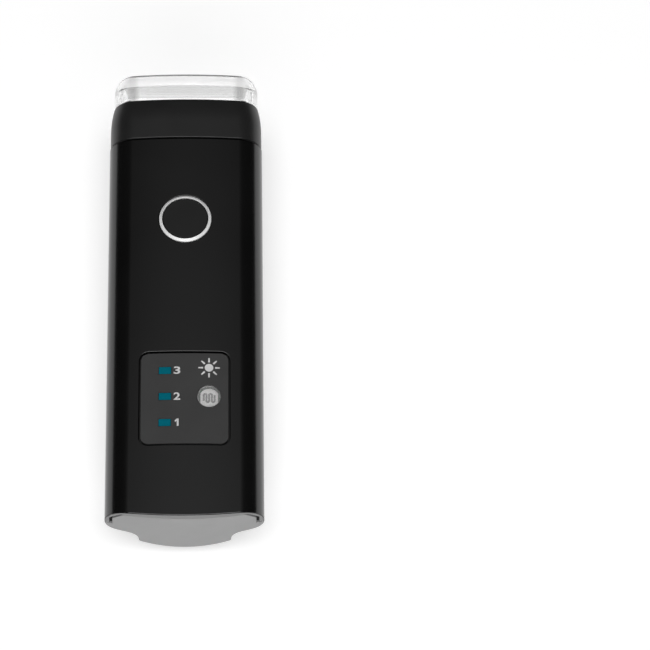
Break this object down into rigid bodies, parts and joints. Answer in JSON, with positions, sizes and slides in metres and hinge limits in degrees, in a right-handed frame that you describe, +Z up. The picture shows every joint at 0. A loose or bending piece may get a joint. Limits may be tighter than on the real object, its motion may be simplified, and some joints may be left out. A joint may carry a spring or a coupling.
{
  "type": "bike headlight",
  "caption": "Slim bicycle headlight with a black metal cover, clear front lens, push button with a polished ring, indicator panel with a light sensor, and a slide rail underneath.",
  "frame": {"origin": "on the slide rail's flat foot, under the middle of the lamp's length and width", "axes": "+Y to the front (lens), +X to the right seen from behind, +Z up"},
  "size_m": [0.0396, 0.127, 0.023],
  "materials": {
    "cover_black": "satin black anodised aluminium, bare at the cut rear rim",
    "case_grey": "matte moulded plastic",
    "bezel_black": "fine satin moulded plastic",
    "lens_clear": "clear polycarbonate",
    "ring_chrome": "polished",
    "button_black": "matte",
    "panel_grey": "matte printed plate",
    "guide_teal": "tinted translucent plastic",
    "window_clear": "clear",
    "sensor_pale": "coated ceramic face",
    "rubber_black": "matte silicone",
    "door_black": "firm matte rubber over a moulded core",
    "rail_black": "textured moulded plastic",
    "screw_steel": "zinc plated",
    "socket_steel": "nickel plated",
    "reflector_silver": "metallised",
    "led_phosphor": "phosphor under a clear dome",
    "led_board_white": "white solder mask on an aluminium core",
    "sink_aluminium": "bare",
    "board_green": "solder mask",
    "chip_black": "moulded chips",
    "diode_white": "chip packages",
    "battery_wrap": "film wrap",
    "foam_black": "foam with adhesive",
    "lead_red": "insulated wire",
    "plunger_white": "moulded"
  },
  "bodies": {
    "body": {"top_cover": "cover_black", "lower_case": "case_grey", "case_seal": "rubber_black", "case_screws": "screw_steel", "front_bezel": "bezel_black", "bezel_screws": "screw_steel", "lens": "lens_clear", "lens_seal": "rubber_black", "reflector": "reflector_silver", "led_board": "led_board_white", "led_emitter": "led_phosphor", "heat_sink": "sink_aluminium", "led_screws": "screw_steel", "led_leads": "lead_red", "main_board": "board_green", "board_screws": "screw_steel", "driver_components": "chip_black", "battery": "battery_wrap", "battery_pad": "foam_black", "battery_leads": "lead_red", "button_ring": "ring_chrome", "button_seal": "rubber_black", "tact_switch": "chip_black", "indicator_panel": "panel_grey", "panel_gasket": "rubber_black", "light_guides": "guide_teal", "indicator_leds": "diode_white", "sensor_window": "window_clear", "light_sensor": "sensor_pale", "usb_socket": "socket_steel", "port_seal": "rubber_black", "hinge_pin": "screw_steel", "mount_rail": "rail_black", "rail_screws": "screw_steel"},
    "button": {"power_button": "button_black", "switch_plunger": "plunger_white"},
    "port_cover": {"usb_cover": "door_black"}
  },
  "joints": [
    {"name": "button_press", "type": "slide", "parent": "body", "child": "button", "axis": [0, 0, -1], "range_m": [0, 0.0005], "stiffness_N_per_m": 2500},
    {"name": "port_cover_hinge", "type": "hinge", "parent": "body", "child": "port_cover", "pos_m": [0, -0.05697, 0.0048], "axis": [-1, 0, 0], "range_deg": [0, 100]}
  ]
}
